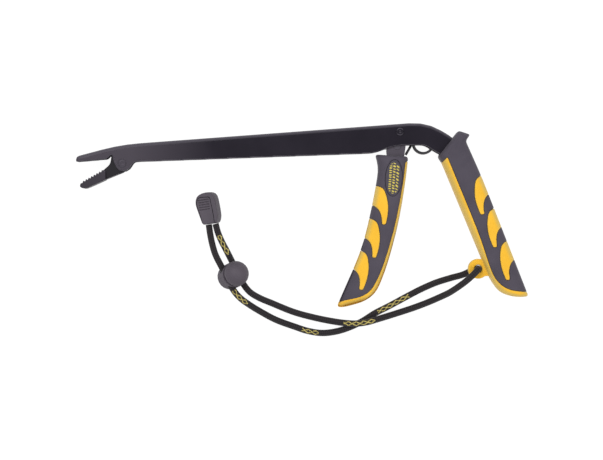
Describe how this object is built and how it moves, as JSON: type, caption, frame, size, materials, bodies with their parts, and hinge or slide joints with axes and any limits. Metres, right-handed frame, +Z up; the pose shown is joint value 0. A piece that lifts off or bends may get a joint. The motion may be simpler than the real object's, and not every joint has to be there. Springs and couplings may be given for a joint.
{
  "type": "fishing hook remover",
  "caption": "Long-nose pistol-grip hook remover: folded steel channel, toothed lower jaw worked by a trigger grip through a pull rod, two-colour grips and a corded wrist lanyard",
  "frame": {"origin": "bottom centre of the tool's box without its lanyard, on the surface it lies on", "axes": "+X from the nose towards the grips, +Y away from the grips' free ends, +Z up through the tool's thickness"},
  "size_m": [0.2803, 0.1328, 0.0231],
  "materials": {
    "coated_steel": "semi-gloss black coating",
    "jaw_steel": "worn semi-gloss black coating",
    "bare_steel": "plain steel",
    "spring_steel": "dark spring wire",
    "grip_yellow": "moulded, satin",
    "grip_dark": "soft overmould, matte",
    "badge": "printed inlay",
    "cord": "braided cord with woven tracer marks",
    "lock_plastic": "moulded, matte"
  },
  "bodies": {
    "frame": {"body_channel": "coated_steel", "trigger_pivot_rivet": "coated_steel", "jaw_pivot_rivet": "coated_steel", "rear_grip_core": "grip_yellow", "rear_grip_cover": "grip_dark", "trigger_bush_upper": "bare_steel", "trigger_bush_lower": "bare_steel", "return_spring": "spring_steel", "lanyard_strand_upper": "cord", "lanyard_strand_lower": "cord", "cord_end_front": "lock_plastic", "cord_end_back": "lock_plastic"},
    "trigger": {"trigger_lever": "jaw_steel", "front_grip_core": "grip_yellow", "front_grip_cover": "grip_dark", "front_grip_badge_upper": "badge", "front_grip_badge_lower": "badge", "rod_rear_pin": "coated_steel"},
    "pull_rod": {"pull_rod": "bare_steel"},
    "jaw": {"lower_jaw": "jaw_steel", "rod_front_pin": "coated_steel"},
    "cord_lock": {"cord_lock_housing": "lock_plastic", "cord_lock_spring": "spring_steel"},
    "lock_button": {"cord_lock_button": "lock_plastic"}
  },
  "joints": [
    {"name": "trigger_pivot", "type": "hinge", "parent": "frame", "child": "trigger", "pos_m": [0.0611, 0.0515, 0.01], "axis": [0, 0, 1], "range_deg": [0, 20], "stiffness_Nm_per_rad": 0.8, "springref_deg": -28.65, "deforming": ["return_spring"]},
    {"name": "rod_hinge", "type": "hinge", "parent": "trigger", "child": "pull_rod", "pos_m": [0.0595, 0.04244, 0.01], "axis": [0, 0, 1], "range_deg": [-20, 0]},
    {"name": "jaw_pivot", "type": "hinge", "parent": "frame", "child": "jaw", "pos_m": [-0.111, 0.0319, 0.01], "axis": [0, 0, 1], "range_deg": [-26, 0]},
    {"name": "cord_lock_slide", "type": "slide", "parent": "frame", "child": "cord_lock", "axis": [-0.452, 0.892, 0], "range_m": [0, 0.006]},
    {"name": "lock_button_press", "type": "slide", "parent": "cord_lock", "child": "lock_button", "axis": [-0.4198, -0.2099, -0.883], "range_m": [0, 0.002], "stiffness_N_per_m": 800, "springref_m": -0.004, "deforming": ["cord_lock_spring"]}
  ],
  "couplings": [
    {"joint": "rod_hinge", "follows": "trigger_pivot", "ratio": -1},
    {"joint": "jaw_pivot", "follows": "trigger_pivot", "ratio": -1.3}
  ]
}
